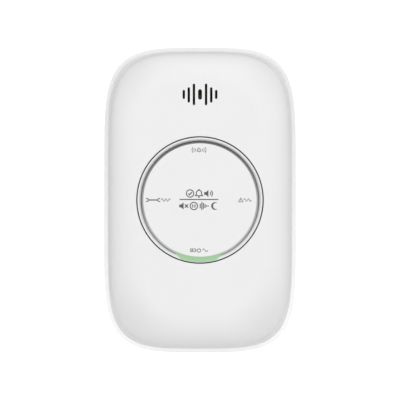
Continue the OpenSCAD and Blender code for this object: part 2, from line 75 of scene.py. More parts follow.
# Sizes from the frame. A name that ends in _D is a depth out from the wall
REAR_LOW, REAR_HIGH = plan_box("rear_cover")
COVER_LOW, COVER_HIGH = plan_box("front_cover")
BUTTON_LOW, BUTTON_HIGH = plan_box("test_button")
PLATE_LOW, PLATE_HIGH = plan_box("wall_plate")
SCREEN_LOW, SCREEN_HIGH = plan_box("sounder_mesh")
DOOR_PIN_X = plan_box("battery_door")[1][0]
FLANGE_R = plan_box("light_ring")[1][0]
LED_TOP_D = plan_box("led_power")[1][2]
UPPER_CELL_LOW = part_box("battery_upper")[0].z
HALF_W, HALF_H = REAR_HIGH[0], REAR_HIGH[1]
PART_D = COVER_LOW[2]
FACE_D = BUTTON_HIGH[2]
RIM_STEP = HALF_W - COVER_HIGH[0]

# Outline and shoulder of the case, as superellipse powers and widths
SIDE_POWER, END_POWER, SHOULDER_POWER = 3.77, 5.81, 2.4
SIDE_DRAFT, SIDE_D, SHOULDER_W, WALL = 0.8, 24.0, 13.5, 2.2
SIDE_INSET = RIM_STEP + SIDE_DRAFT
INNER_SHOULDER_W = SHOULDER_W - 0.82 * WALL
# At the corners the side leans in more and ends sooner, and its outline is fuller at the rim
CORNER_SLOPE, CORNER_DROP, CORNER_EASE, FULLER = 0.8, 2.0, 0.7, 1.05
# Points round an outline; rounding of small parts and of the opening's mouth; degrees at which an edge is sharp
AROUND, EDGE_R, MOUTH_R, SHARP = 360, 0.3, 0.07, 32

# Opening, ring and button
BUTTON_R = BUTTON_HIGH[0]
OPENING_R = BUTTON_R + 2.05
RING_R, RING_INNER_R = OPENING_R - 0.44, BUTTON_R + 0.25
COLLAR_R, COLLAR_D, FLANGE_T = FLANGE_R + 0.5, 33.4, 1.7
LIGHT_R = 24.2
CAP_T, SKIRT_D, SKIRT_T = 2.0, 34.4, 1.25
CLIP_D, CLIP_NOSE_R = 30.6, 23.9
INK_T = 0.02
CAP_D = FACE_D - INK_T

# Slots, as distance from the middle, shift up the wall, width and height; and the tube behind them
SLOT_Y = (SCREEN_LOW[1] + SCREEN_HIGH[1]) / 2
SLOTS = [(0, -0.2, 1.5, 4.1), (2.38, -0.2, 0.93, 8.45), (4.4, -0.4, 0.93, 6.0), (6.35, -0.2, 0.93, 3.55)]
SOUND_TUBE_R, SOUND_TUBE_IN_R = 9.2, 7.6

# Back of the case
BACK_D = REAR_LOW[2]
LIP_D, BOARD_D, SCREW_SEAT_D = 17.0, 19.2, 8.0
RECESS_D, RECESS_FLOOR_D = BACK_D + 2, BACK_D + 4
CASE_SCREWS = [(22.5 * x, 50.5 * y) for x in (-1, 1) for y in (-1, 1)]
BOARD_SCREWS = [(14, 48.5), (-14, 48.5), (26.5, -8), (-26.5, -8)]
BOX_X, BOX_LOW, BOX_HIGH, BOX_WALL, BOX_IN_D = 27.8, -45.5, -15.3, 1.2, 17.6
HINGE_Y, HINGE_D, HINGE_PIN_R, HINGE_BARREL_R = BOX_HIGH - 1.4, 2.0, 0.8, 1.0
DOOR_LOW_Y, DOOR_T = BOX_LOW + 0.4, 1.8
LIFT = 8.0
HOOKS = [(x, y) for x in (-19.0, 19.0) for y in (6.0, 34.0)]
PLATE_T, PLATE_SCREW_X = 2.2, 16.0
VENT_PITCH, VENT_W, VENT_D = 3.2, 1.6, (5.4, 10.2)

# Colours, and painted shade. _LOW and _HIGH are the painted shade at the bottom and the top of the ring: the
# button's bevel is painted near black at the top and the ring's inner slope a little darker there, and the ring's
# outer wall is painted near black as shade in the gap round the ring
WHITE = (0.84, 0.84, 0.84, 1)
RING_COLOUR = (0.78, 0.79, 0.785, 1)
BEVEL_SHADE_LOW, BEVEL_SHADE_HIGH = (0.66, 0.66, 0.66, 1), (0.18, 0.18, 0.18, 1)
SLOPE_SHADE_LOW, SLOPE_SHADE_HIGH = (0.72, 0.72, 0.72, 1), (0.68, 0.68, 0.68, 1)
RING_GAP_SHADE = (0.08, 0.08, 0.08, 1)
BLACK = (0, 0, 0, 1)

# Green light of the ring: where it starts, its turn from six o'clock, half its spread and how that narrows
LIT_R = BUTTON_R - 0.75
GLOW_SHIFT, GLOW_HALF, GLOW_TAPER = 1.5, 26.0, 10.0
GLOW_BASE = (0.06, 0.08, 0.06, 1)
GLOW_COLOUR = (0.32, 0.51, 0.3, 1)

# Studio: where the white sky is brightest, and its strength behind and before the object
SKY_AIM = (0.08, -0.97, 0.08)
SKY_BACK, SKY_FRONT, SKY_SEEN = 0.19, 1.375, 1.1
VIEW_W, LENS = 0.1577, 1000


# ---------------------------------------------------------------- mesh helpers

def stand(points):
    """Plan points in millimetres to frame points in metres."""
    p = np.asarray(points, float)
    return np.stack([p[:, 0], -p[:, 2], p[:, 1]], 1) * MM


def loft(rings, caps=True, wrap=False):
    """Joins equal rings of plan points into one skin; wrap joins the last ring back to the first."""
    n = len(rings[0])
    points = np.concatenate(rings)
    faces = []
    pairs = [(k, (k + 1) % len(rings)) for k in range(len(rings) if wrap else len(rings) - 1)]
    for low, high in pairs:
        for i in range(n):
            j = (i + 1) % n
            faces.append((low * n + i, low * n + j, high * n + j, high * n + i))
    if caps and not wrap:
        faces.append(tuple(range(n - 1, -1, -1)))
        faces.append(tuple((len(rings) - 1) * n + i for i in range(n)))
    return points, faces


def at_depth(outline, depth):
    """A flat ring of plan points; depth may differ from point to point."""
    outline = np.asarray(outline, float)
    return np.column_stack([outline, np.broadcast_to(depth, len(outline))])


def circle(radius, middle=(0, 0), count=64):
    """Outline of a circle, anticlockwise from +X."""
    turn = np.arange(count) * 2 * np.pi / count
    return np.column_stack([middle[0] + radius * np.cos(turn), middle[1] + radius * np.sin(turn)])


def lathe(profile, middle=(0, 0), count=64, wrap=False):
    """Turns a profile of (radius, depth) about an axis out of the wall."""
    return loft([at_depth(circle(r, middle, count), d) for r, d in profile], wrap=wrap)


def rounded_rectangle(low, high, radius, grow=0.0, steps=8):
    """Outline of a rectangle with round corners, made larger all round by grow."""
    x0, y0, x1, y1 = low[0] - grow, low[1] - grow, high[0] + grow, high[1] + grow
    r = max(radius + grow, 0.02)
    corners = [(x1 - r, y1 - r, 0), (x0 + r, y1 - r, 90), (x0 + r, y0 + r, 180), (x1 - r, y0 + r, 270)]
    return np.array([(x + r * math.cos(math.radians(a + 90 * k / steps)),
                      y + r * math.sin(math.radians(a + 90 * k / steps)))
                     for x, y, a in corners for k in range(steps + 1)])


def quarter(steps=6):
    """Angles of a quarter turn, in radians."""
    return [math.radians(90 * k / steps) for k in range(steps + 1)]


def slab(low, high, radius, edge=EDGE_R):
    """Block between two plan corners, with round corners in plan and rounded edges at both faces."""
    turn = quarter(4)
    profile = [(-edge * (1 - math.sin(t)), low[2] + edge * (1 - math.cos(t))) for t in turn]
    profile += [(-edge * (1 - math.cos(t)), high[2] - edge * (1 - math.sin(t))) for t in turn]
    return loft([at_depth(rounded_rectangle(low, high, radius, g), d) for g, d in profile])


def pocket(low, high, radius, flare=EDGE_R):
    """Cutter for a pocket that opens backwards at depth low[2], its mouth rounded outwards by flare."""
    mouth = low[2]
    profile = [(flare, mouth - 2)]
    profile += [(flare * (1 - math.sin(t)), mouth + flare * (1 - math.cos(t))) for t in quarter(4)]
    profile.append((0, high[2]))
    return loft([at_depth(rounded_rectangle(low, high, radius, g), d) for g, d in profile])


def bore(middle, radius, low, high, count=48):
    """Round bar or cutter between two depths."""
    return lathe([(radius, low), (radius, high)], middle, count)


def along_x(part):
    """Tips a part over, so that its axis lies along X."""
    points, faces = part
    return np.column_stack([points[:, 2], points[:, 1], -points[:, 0]]), faces


def moved(part, by):
    """Shifts a part by a plan vector."""
    return part[0] + np.asarray(by, float), part[1]


def rolled(part, degrees):
    """Turns a part about the middle of the plan."""
    c, s = math.cos(math.radians(degrees)), math.sin(math.radians(degrees))
    p = part[0]
    return np.column_stack([c * p[:, 0] - s * p[:, 1], s * p[:, 0] + c * p[:, 1], p[:, 2]]), part[1]


def joined(parts):
    """Several skins as one list of points and one list of faces."""
    points, faces, start = [], [], 0
    for p, f in parts:
        points.append(p)
        faces += [tuple(i + start for i in face) for face in f]
        start += len(p)
    return np.concatenate(points), faces


def mesh_object(name, parts):
    """Blender object from parts in plan."""
    points, faces = joined(parts)
    mesh = bpy.data.meshes.new(name)
    mesh.from_pydata([tuple(p) for p in stand(points)], [], faces)
    mesh.update()
    obj = bpy.data.objects.new(name, mesh)
    bpy.context.scene.collection.objects.link(obj)
    return obj


def combine(obj, parts, operation):
    """Adds parts to obj or takes them away, exactly."""
    tool = mesh_object("tool", parts)
    modifier = obj.modifiers.new("combine", "BOOLEAN")
    modifier.operation, modifier.solver, modifier.object = operation, "EXACT", tool
    bpy.context.view_layer.update()
    graph = bpy.context.evaluated_depsgraph_get()
    result = bpy.data.meshes.new_from_object(obj.evaluated_get(graph))
    obj.modifiers.clear()
    old = obj.data
    obj.data = result
    bpy.data.meshes.remove(old)
    bpy.data.objects.remove(tool)
    return obj


def settle(obj, material, body, slot, *stands_for):
    """Shading, material and body of a finished piece."""
    obj.data.materials.clear()
    obj.data.materials.append(material)
    obj.data.shade_smooth()
    obj.data.set_sharp_from_angle(angle=math.radians(SHARP))
    normals = obj.modifiers.new("even normals", "WEIGHTED_NORMAL")
    normals.keep_sharp = True
    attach(obj, body)
    if stands_for:
        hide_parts(*stands_for)


# ---------------------------------------------------------------- materials

class Nodes:
    """A material's node tree with short calls."""

    def __init__(self, name, specular=None):
        self.material = bpy.data.materials.new(name)
        self.material.use_nodes = True
        self.tree = self.material.node_tree
        self.shader = self.tree.nodes["Principled BSDF"]
        if specular is not None:
            self.shader.inputs["Specular IOR Level"].default_value = specular
        self.place = self.add("ShaderNodeTexCoord").outputs["Object"]

    def add(self, kind, **values):
        """A node with its sockets or settings given by name."""
        node = self.tree.nodes.new(kind)
        for key, value in values.items():
            if key in node.inputs:
                node.inputs[key].default_value = value
            else:
                setattr(node, key, value)
        return node

    def link(self, source, target):
        """Joins a node's output to an input; a name is an input of the shader."""
        self.tree.links.new(source, self.shader.inputs[target] if isinstance(target, str) else target)

    def axes(self):
        """The object's own X, Y and Z at each point."""
        split = self.add("ShaderNodeSeparateXYZ")
        self.link(self.place, split.inputs["Vector"])
        return split.outputs["X"], split.outputs["Y"], split.outputs["Z"]

    def noise(self, size_mm, detail=2.0, roughness=0.5):
        """Noise whose features are about size_mm across."""
        node = self.add("ShaderNodeTexNoise", Scale=1.0 / (size_mm * MM), Detail=detail, Roughness=roughness)
        self.link(self.place, node.inputs["Vector"])
        return node.outputs["Fac"]

    def ranged(self, source, low, high, start=0.0, end=1.0, smooth=False):
        """Maps source from start..end to low..high, and holds it there outside."""
        node = self.add("ShaderNodeMapRange")
        node.interpolation_type = "SMOOTHSTEP" if smooth else "LINEAR"
        for key, value in zip(("From Min", "From Max", "To Min", "To Max"), (start, end, low, high)):
            node.inputs[key].default_value = value
        self.link(source, node.inputs["Value"])
        return node.outputs["Result"]

    def maths(self, operation, a, b=None):
        """One Math node; a and b are outputs or numbers."""
        node = self.add("ShaderNodeMath")
        node.operation = operation
        for socket, value in zip(node.inputs, (a, b)):
            if isinstance(value, (int, float)):
                socket.default_value = value
            elif value is not None:
                self.link(value, socket)
        return node.outputs["Value"]

    def mix(self, factor, a, b):
        """Colour from a to b; each is an output or a colour."""
        node = self.add("ShaderNodeMix", data_type="RGBA")
        for key, value in (("A", a), ("B", b)):
            socket = [s for s in node.inputs if s.name == key and s.type == "RGBA"][0]
            if isinstance(value, tuple):
                socket.default_value = value
            else:
                self.link(value, socket)
        self.link(factor, node.inputs["Factor"])
        return [s for s in node.outputs if s.type == "RGBA"][0]

    def bump(self, height, depth_mm):
        """Relief of a depth in millimetres."""
        node = self.add("ShaderNodeBump", Distance=depth_mm * MM)
        self.link(height, node.inputs["Height"])
        self.link(node.outputs["Normal"], "Normal")

    def flow(self, colour):
        """Faint marks of plastic that flowed into a mould."""
        return self.mix(self.noise(22, detail=3), shade(colour, 0.985), shade(colour, 1.01))


def shade(colour, by):
    """A colour made lighter or darker."""
    return tuple(c * by for c in colour[:3]) + (1.0,)


def moulded_plastic(name, colour, roughness=0.5, grain_mm=0.35, grain_depth=0.012, specular=0.4):
    """Injection-moulded plastic: spark-eroded grain, faint flow marks and uneven gloss."""
    n = Nodes(name, specular)
    n.link(n.flow(colour), "Base Color")
    n.link(n.ranged(n.noise(4, detail=4), roughness - 0.05, roughness + 0.05), "Roughness")
    n.bump(n.noise(grain_mm, detail=3, roughness=0.6), grain_depth)
    return n.material


def metal(name, colour, roughness=0.3, size_mm=1.6):
    """Metal with fine rolled or drawn lines."""
    n = Nodes(name)
    n.shader.inputs["Metallic"].default_value = 1.0
    stretcher = n.add("ShaderNodeMapping", Scale=(1, 1, 12))
    n.link(n.place, stretcher.inputs["Vector"])
    lines = n.add("ShaderNodeTexNoise", Scale=1.0 / (size_mm * MM), Detail=3.0)
    n.link(stretcher.outputs["Vector"], lines.inputs["Vector"])
    n.link(n.mix(lines.outputs["Fac"], shade(colour, 0.85), shade(colour, 1.08)), "Base Color")
    n.link(n.ranged(lines.outputs["Fac"], roughness - 0.08, roughness + 0.1), "Roughness")
    n.bump(lines.outputs["Fac"], 0.004)
    return n.material


def ring_place(n):
    """Distance from the middle of the button, turn from six o'clock and height, for shading round the ring."""
    across, _, up = n.axes()
    radius = n.maths("SQRT", n.maths("ADD", n.maths("POWER", across, 2.0), n.maths("POWER", up, 2.0)))
    turn = n.maths("ARCTAN2", across, n.maths("MULTIPLY", up, -1.0))
    return radius, turn, n.maths("DIVIDE", up, radius)


def glow_mask(n, radius, turn):
    """1 near six o'clock, narrower towards the ring's outside and 0 on its outer wall."""
    away = n.maths("ABSOLUTE", n.maths("ADD", turn, math.radians(GLOW_SHIFT)))
    taper = n.ranged(radius, 0.0, math.radians(GLOW_TAPER), LIT_R * MM, RING_R * MM)
    ragged = n.ranged(n.noise(0.8, detail=2), -0.02, 0.02)
    reach = n.maths("ADD", n.maths("ADD", away, taper), ragged)
    arc_part = n.ranged(reach, 1.0, 0.0, math.radians(GLOW_HALF - 0.7), math.radians(GLOW_HALF + 0.7), smooth=True)
    crest = n.ranged(radius, 1.0, 0.0, (RING_R - 0.22) * MM, (RING_R - 0.12) * MM, smooth=True)
    return n.maths("MULTIPLY", arc_part, crest)


def glow(n, mask, unlit):
    """Colours the shader: unlit where the mask is 0, and giving green light where it is 1."""
    n.link(n.mix(mask, unlit, GLOW_BASE), "Base Color")
    n.link(n.mix(mask, BLACK, GLOW_COLOUR), "Emission Color")
    n.shader.inputs["Emission Strength"].default_value = 1.0


def light_ring_plastic():
    """Frosted clear plastic, lit green round six o'clock; its inner slope carries painted grey shade, a little
    darker towards the top, and its outer wall is painted near black as shade in the gap.
    """
    n = Nodes("frosted_ring")
    radius, turn, height = ring_place(n)
    cloud = n.noise(2.5, detail=3)
    frost = n.mix(cloud, RING_COLOUR, shade(RING_COLOUR, 1.05))
    slope = n.ranged(radius, 1.0, 0.0, (RING_INNER_R + 0.1) * MM, (RING_INNER_R + 0.85) * MM)
    # Painted shade on the inner slope: grey, a little darker towards the top
    painted_shade = n.mix(slope, frost, n.mix(n.ranged(height, 0.0, 1.0, -1.0, 1.0), SLOPE_SHADE_LOW, SLOPE_SHADE_HIGH))
    # Painted shade in the gap: the ring's outer wall is painted near black
    wall = n.ranged(radius, 0.0, 1.0, (RING_R - 0.06) * MM, (RING_R - 0.02) * MM)
    glow(n, glow_mask(n, radius, turn), n.mix(wall, painted_shade, RING_GAP_SHADE))
    n.link(n.ranged(cloud, 0.3, 0.42), "Roughness")
    n.bump(n.noise(0.3), 0.008)
    return n.material


def button_cap_plastic():
    """The case plastic, smoother; the bevel round it carries painted grey shade, darker above, and a painted green
    glow where the ring's light falls on it.
    """
    n = Nodes("button_cap", specular=0.4)
    radius, turn, height = ring_place(n)
    bevel = n.ranged(radius, 0.0, 1.0, (LIT_R - 0.02) * MM, (LIT_R + 0.06) * MM, smooth=True)
    # Painted shade on the bevel: light grey at the bottom, near black at the top
    painted_shade = n.mix(n.ranged(height, 0.0, 1.0, -0.9, 0.9), BEVEL_SHADE_LOW, BEVEL_SHADE_HIGH)
    # Painted green glow on the bevel, where the ring's light falls on it
    glow(n, n.maths("MULTIPLY", glow_mask(n, radius, turn), bevel), n.mix(bevel, n.flow(WHITE), painted_shade))
    n.link(n.ranged(n.noise(4, detail=4), 0.38, 0.47), "Roughness")
    n.bump(n.noise(0.25, detail=3, roughness=0.6), 0.006)
    return n.material


def rear_plastic():
    """The case plastic, with a painted white glow on the bead round the rim, strongest at the bottom, standing in
    for light on it.
    """
    n = Nodes("rear_plastic", specular=0.4)
    _, back, up = n.axes()
    depth = n.maths("MULTIPLY", back, -1.0)
    # Painted light: the bead round the rim glows white, most at the bottom and none at the top
    bead = n.ranged(depth, 0.0, 1.0, (PART_D - 0.25) * MM, (PART_D - 0.05) * MM, smooth=True)
    painted_glint = n.ranged(up, 0.22, 0.0, -0.06, 0.06)
    n.link(n.flow(WHITE), "Base Color")
    n.shader.inputs["Emission Color"].default_value = (1, 1, 1, 1)
    n.link(n.maths("MULTIPLY", bead, painted_glint), "Emission Strength")
    n.link(n.ranged(n.noise(4, detail=4), 0.46, 0.55), "Roughness")
    n.bump(n.noise(0.35, detail=3, roughness=0.6), 0.012)
    return n.material


def board_laminate():
    """Green solder mask over copper tracks that run up and across the board."""
    n = Nodes("board_laminate")
    tracks = n.add("ShaderNodeTexBrick", Scale=260.0)
    tracks.inputs["Mortar Size"].default_value = 0.02
    n.link(n.place, tracks.inputs["Vector"])
    n.link(n.mix(tracks.outputs["Fac"], (0.02, 0.12, 0.05, 1), (0.03, 0.2, 0.08, 1)), "Base Color")
    n.link(n.ranged(n.noise(6), 0.22, 0.34), "Roughness")
    n.bump(tracks.outputs["Fac"], 0.02)
    return n.material


def cell_jacket():
    """Printed foil sleeve of an AA cell: dark body, copper band at one end, bare metal at the ends."""
    n = Nodes("cell_jacket")
    across, _, up = n.axes()
    # The cells lie opposite ways round, so the band is at +X on the upper one and at -X on the lower one
    towards_nub = n.maths("MULTIPLY", across, n.maths("SIGN", n.maths("ADD", up, -UPPER_CELL_LOW)))
    band = n.ranged(towards_nub, 0.0, 1.0, 0.0115, 0.0118)
    bare = n.ranged(n.maths("ABSOLUTE", across), 0.0, 1.0, 0.0234, 0.0236)
    scuffs = n.noise(1.5, detail=5)
    dark = n.mix(scuffs, (0.03, 0.035, 0.04, 1), (0.045, 0.05, 0.055, 1))
    printed = n.mix(band, dark, (0.62, 0.3, 0.12, 1))
    n.link(n.mix(bare, printed, (0.7, 0.7, 0.71, 1)), "Base Color")
    n.shader.inputs["Metallic"].default_value = 0.6
    n.link(n.ranged(scuffs, 0.25, 0.4), "Roughness")
    n.bump(scuffs, 0.004)
    return n.material


def copper_winding():
    """Fine enamelled wire wound round an upright bobbin."""
    n = Nodes("copper_winding")
    turns = n.add("ShaderNodeTexWave", Scale=700.0, bands_direction="Y")
    n.link(n.place, turns.inputs["Vector"])
    n.link(n.mix(turns.outputs["Fac"], (0.25, 0.08, 0.02, 1), (0.6, 0.26, 0.09, 1)), "Base Color")
    n.shader.inputs["Metallic"].default_value = 0.5
    n.link(n.ranged(turns.outputs["Fac"], 0.25, 0.4), "Roughness")
    n.bump(turns.outputs["Fac"], 0.05)
    return n.material


case_plastic = moulded_plastic("case_plastic", WHITE)
rear_cover_plastic = rear_plastic()
plate_plastic = moulded_plastic("plate_plastic", (0.8, 0.8, 0.79, 1), roughness=0.55)
button_cap = button_cap_plastic()
ring_plastic = light_ring_plastic()
ink = moulded_plastic("printed_ink", (0.1, 0.1, 0.105, 1), roughness=0.6, grain_depth=0.003)
screen_wire = moulded_plastic("screen_wire", (0.02, 0.02, 0.022, 1), roughness=0.5, grain_depth=0.003)

# A material for each slot of the record, for the CAD nodes that stay
SLOT_MATERIALS = {
    "spring_steel": metal("spring_steel", (0.72, 0.72, 0.74, 1), 0.25),
    "ivory_plastic": moulded_plastic("ivory_plastic", (0.72, 0.68, 0.58, 1)),
    "black_plastic": moulded_plastic("black_plastic", (0.03, 0.03, 0.033, 1), roughness=0.45),
    "circuit_board": board_laminate(),
    "led_plastic": moulded_plastic("led_plastic", (0.7, 0.85, 0.7, 1), roughness=0.25, specular=0.6),
    "brass": metal("brass", (0.75, 0.55, 0.22, 1), 0.3),
    "foam": moulded_plastic("foam", (0.03, 0.03, 0.03, 1), roughness=0.9, grain_mm=0.5, grain_depth=0.15),
    "tinned_metal": metal("tinned_metal", (0.78, 0.78, 0.79, 1), 0.35),
    "steel_can": metal("steel_can", (0.7, 0.7, 0.71, 1), 0.28),
    "sensor_plastic": moulded_plastic("sensor_plastic", (0.05, 0.08, 0.3, 1)),
    "filter_felt": moulded_plastic("filter_felt", (0.8, 0.8, 0.78, 1), roughness=0.95, grain_mm=0.3,
                                   grain_depth=0.1),
    "capacitor_can": moulded_plastic("capacitor_can", (0.02, 0.03, 0.12, 1), roughness=0.3, specular=0.6),
    "coil_winding": copper_winding(),
    "chip_ceramic": moulded_plastic("chip_ceramic", (0.04, 0.04, 0.045, 1), roughness=0.4),
    "cell_jacket": cell_jacket(),
    "screw_steel": metal("screw_steel", (0.6, 0.6, 0.62, 1), 0.35),
}


# ---------------------------------------------------------------- shape of the case

def outline(inset, fuller=1.0):
    """The case's superellipse outline moved in by inset, at even turns round the middle."""
    turn = np.arange(AROUND) * 2 * np.pi / AROUND
    c, s = np.abs(np.cos(turn)), np.abs(np.sin(turn))
    low, high = np.zeros(AROUND), np.full(AROUND, 2 * HALF_H)
    for _ in range(50):
        mid = (low + high) / 2
        reach = ((mid * c / (HALF_W - inset)) ** (SIDE_POWER * fuller)
                 + (mid * s / (HALF_H - inset)) ** (END_POWER * fuller))
        low, high = np.where(reach < 1, mid, low), np.where(reach < 1, high, mid)
    return np.column_stack([low * np.cos(turn), low * np.sin(turn)])


def inset_at(plan):
    """How far in from the case's outline each plan point lies."""
    x, y = np.abs(plan[:, 0]), np.abs(plan[:, 1])
    low, high = np.zeros(len(plan)), np.full(len(plan), HALF_W - 0.5)
    for _ in range(50):
        mid = (low + high) / 2
        inside = (x / (HALF_W - mid)) ** SIDE_POWER + (y / (HALF_H - mid)) ** END_POWER < 1
        low, high = np.where(inside, mid, low), np.where(inside, high, mid)
    return low


def corner_share(plan, inset):
    """0 along the sides and ends, rising to 1 at the four corners."""
    u = (np.abs(plan[:, 0]) / (HALF_W - inset)) ** SIDE_POWER
    v = (np.abs(plan[:, 1]) / (HALF_H - inset)) ** END_POWER
    return np.clip(4 * u * v, 0, 1)


def outer_depth(plan, inset):
    """Depth of the front cover's outside: its shoulder falls away more gently at the corners."""
    share = corner_share(plan, inset)
    start, base = SIDE_INSET + CORNER_SLOPE * share, SIDE_D - CORNER_DROP * share
    q = np.clip(1 - (inset - start) / (SIDE_INSET + SHOULDER_W - start), 0, 1)
    steep, gentle = (1 - q ** SHOULDER_POWER) ** (1 / SHOULDER_POWER), 1 - q ** 2
    return base + (FACE_D - base) * (steep + (gentle - steep) * share * CORNER_EASE)


def inner_depth(plan, inset):
    """Depth of the front cover's inside, at least a wall's thickness behind the outside."""
    q = np.clip(1 - (inset - SIDE_INSET - WALL) / INNER_SHOULDER_W, 0, 1)
    plain = SIDE_D + (FACE_D - WALL - SIDE_D) * (1 - q ** SHOULDER_POWER) ** (1 / SHOULDER_POWER)
    return np.minimum(plain, outer_depth(plan, inset) - WALL - 0.6 * corner_share(plan, inset))


def shoulder_shares(steps):
    """Shares of the shoulder's width that follow its curve evenly."""
    turn = np.radians(90 * np.arange(1, steps) / steps)
    return 1 - np.cos(turn) ** (2 / SHOULDER_POWER)


def on_face(plan, depth_at):
    """Ring that follows the outside or the inside of the front cover."""
    return at_depth(plan, depth_at(plan, inset_at(plan)))


def across_face(start, end, steps, depth_at):
    """Rings that go evenly from one outline to another along a face of the front cover."""
    return [on_face(start + (end - start) * k / steps, depth_at) for k in range(1, steps + 1)]


def outside_rings():
    """The front cover's outside: foot, side, shoulder, flat face and the rounded mouth of the opening."""
    foot, side_steps, edge_gap = 0.2, 6, 1.4
    share = corner_share(outline(RIM_STEP), RIM_STEP)
    draft, side_end = SIDE_DRAFT + CORNER_SLOPE * share, SIDE_D - CORNER_DROP * share
    rings = [at_depth(outline(RIM_STEP + foot * (1 - math.sin(t)), FULLER), PART_D + foot * (1 - math.cos(t)))
             for t in quarter(4)]
    for k in range(1, side_steps + 1):
        rings.append(at_depth(outline(RIM_STEP + draft * k / side_steps, FULLER),
                              PART_D + (side_end - PART_D) * k / side_steps))
    limit = HALF_W - OPENING_R - edge_gap
    for part in shoulder_shares(34):
        along = part * SHOULDER_W / (limit - SIDE_INSET)
        if along < 0.99:
            inset = RIM_STEP + draft + (limit - RIM_STEP - draft) * along
            plan = outline(inset, FULLER + (1 - FULLER) * along)
            rings.append(at_depth(plan, outer_depth(plan, inset)))
    edge = outline(limit)
    rings.append(at_depth(edge, outer_depth(edge, limit)))
    mouth = circle(OPENING_R + MOUTH_R, count=AROUND)
    rings += across_face(edge, mouth, 28, outer_depth)
    mouth_d = outer_depth(mouth, inset_at(mouth))
    for t in quarter()[1:]:
        rings.append(at_depth(circle(OPENING_R + MOUTH_R * (1 - math.sin(t)), count=AROUND),
                              mouth_d - MOUTH_R * (1 - math.cos(t))))
    return rings


def inside_rings():
    """The front cover's inside: the opening's wall and collar, then back under the shoulder to the foot."""
    bevel, foot, edge_gap = 0.2, 0.1, 1.2
    rings = [at_depth(circle(r, count=AROUND), d) for r, d in
             ((OPENING_R, COLLAR_D + bevel), (OPENING_R + bevel, COLLAR_D), (COLLAR_R, COLLAR_D))]
    collar = circle(COLLAR_R, count=AROUND)
    rings.append(on_face(collar, inner_depth))
    limit = HALF_W - COLLAR_R - edge_gap
    rings += across_face(collar, outline(limit), 12, inner_depth)
    start = SIDE_INSET + WALL
    for part in reversed(shoulder_shares(14)):
        inset = start + part * INNER_SHOULDER_W
        if inset < limit - 0.1:
            plan = outline(inset)
            rings.append(at_depth(plan, inner_depth(plan, inset)))
    plan = outline(start)
    rings.append(at_depth(plan, inner_depth(plan, start) - 0.01))
    rings.append(at_depth(outline(RIM_STEP + WALL), PART_D + foot))
    rings.append(at_depth(outline(RIM_STEP + WALL - foot), PART_D))
    return rings


def pill(x, middle, w, h, grow, steps=13):
    """Outline of an upright slot with round ends; odd steps keep its points off the shell's own edges."""
    r = w / 2 + grow
    reach = (h - w) / 2
    ends = [(reach, 0), (-reach, 180)]
    return np.array([(x + r * math.cos(math.radians(a + 180 * k / steps)),
                      SLOT_Y + middle + y + r * math.sin(math.radians(a + 180 * k / steps)))
                     for y, a in ends for k in range(steps + 1)])


def slot_cutter(x, y, w, h):
    """Cutter for one sounder slot, whose mouth is rounded over."""
    flare = 0.12
    profile = [(0, FACE_D - WALL - 2), (0, FACE_D - flare)]
    profile += [(flare * (1 - math.cos(t)), FACE_D - flare * (1 - math.sin(t))) for t in quarter(4)[1:]]
    profile.append((flare, FACE_D + 1))
    return loft([at_depth(pill(x, y, w, h, g), d) for g, d in profile])


def front_cover():
    """Closed shell: up the outside, over the shoulder, into the round opening and back down the inside."""
    obj = mesh_object("front_cover_shell", [loft(outside_rings() + inside_rings(), wrap=True)])
    combine(obj, [slot_cutter(side * x, y, w, h) for x, y, w, h in SLOTS for side in ((-1, 1) if x else (1,))],
            "DIFFERENCE")
    settle(obj, case_plastic, "housing", "white_plastic", "front_cover")


def tube(radius, hole_r, low, high, middle, count):
    """Open tube between two depths."""
    return lathe([(radius, low), (radius, high), (hole_r, high), (hole_r, low)], middle, count, wrap=True)


def front_cover_bosses():
    """The tube behind the slots and the four screw bosses, which end under the lower corners of the shoulder."""
    tubes = [tube(SOUND_TUBE_R, SOUND_TUBE_IN_R, SCREEN_HIGH[2], FACE_D - WALL + 0.4, (0, SLOT_Y), 72)]
    tubes += [tube(2.9, 1.3, LIP_D + 0.2, 23, place, 48) for place in CASE_SCREWS]
    settle(mesh_object("front_cover_bosses", tubes), case_plastic, "housing", "white_plastic")


def rear_skin():
    """Rings of the rear cover: rounded back, side, beaded rim, lip and inside."""
    back_r, back_rise, back_power, rim_r = 3.4, 9.0, 2.4, 0.45
    profile = [(back_r + 0.4, BACK_D)]
    for t in quarter(14):
        profile.append((back_r * (1 - math.sin(t) ** (2 / back_power)),
                        BACK_D + back_rise * (1 - math.cos(t) ** (2 / back_power))))
    profile.append((0, (BACK_D + back_rise + PART_D) / 2))
    profile += [(rim_r * (1 - math.cos(t)), PART_D - rim_r * (1 - math.sin(t))) for t in quarter(6)]
    lip = RIM_STEP + WALL + 0.45
    lip_in = lip + 1.45
    profile += [(rim_r + 0.15, PART_D), (lip, PART_D), (lip, LIP_D - 0.3), (lip + 0.3, LIP_D), (lip_in, LIP_D),
                (lip_in, PART_D - 2), (WALL, PART_D - 5), (WALL + 0.35, BACK_D + 5), (WALL + 1, BACK_D + 3.6),
                (WALL + 2.4, BACK_D + 2)]
    return [at_depth(outline(inset), depth) for inset, depth in profile]


